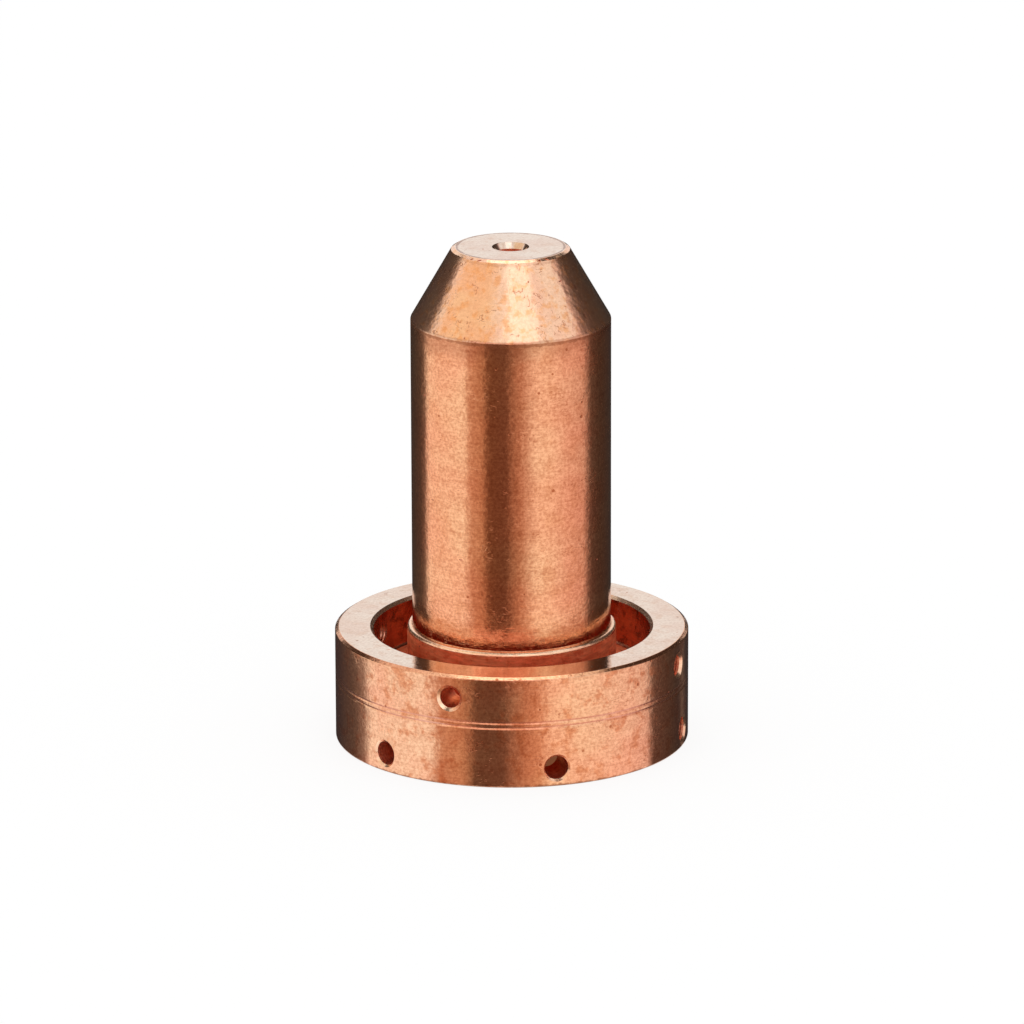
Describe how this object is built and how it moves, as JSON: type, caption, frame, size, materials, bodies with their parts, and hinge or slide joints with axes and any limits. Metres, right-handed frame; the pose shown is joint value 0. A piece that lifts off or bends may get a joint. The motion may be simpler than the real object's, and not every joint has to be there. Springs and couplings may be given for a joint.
{
  "type": "plasma torch nozzle",
  "caption": "Turned copper nozzle with a wide drilled flange, a long barrel and a conical nose; it narrows and aims the arc of a plasma cutting torch.",
  "frame": {"origin": "centre of the rear face, on the nozzle's axis", "axes": "+Z along the axis from the rear face to the tip, -Y towards the viewer of the picture"},
  "size_m": [0.0178, 0.0178, 0.0254],
  "materials": {
    "copper": "bare copper, fine turned, faces brighter than sides"
  },
  "bodies": {
    "root": {"nozzle_body": "copper"}
  },
  "joints": []
}
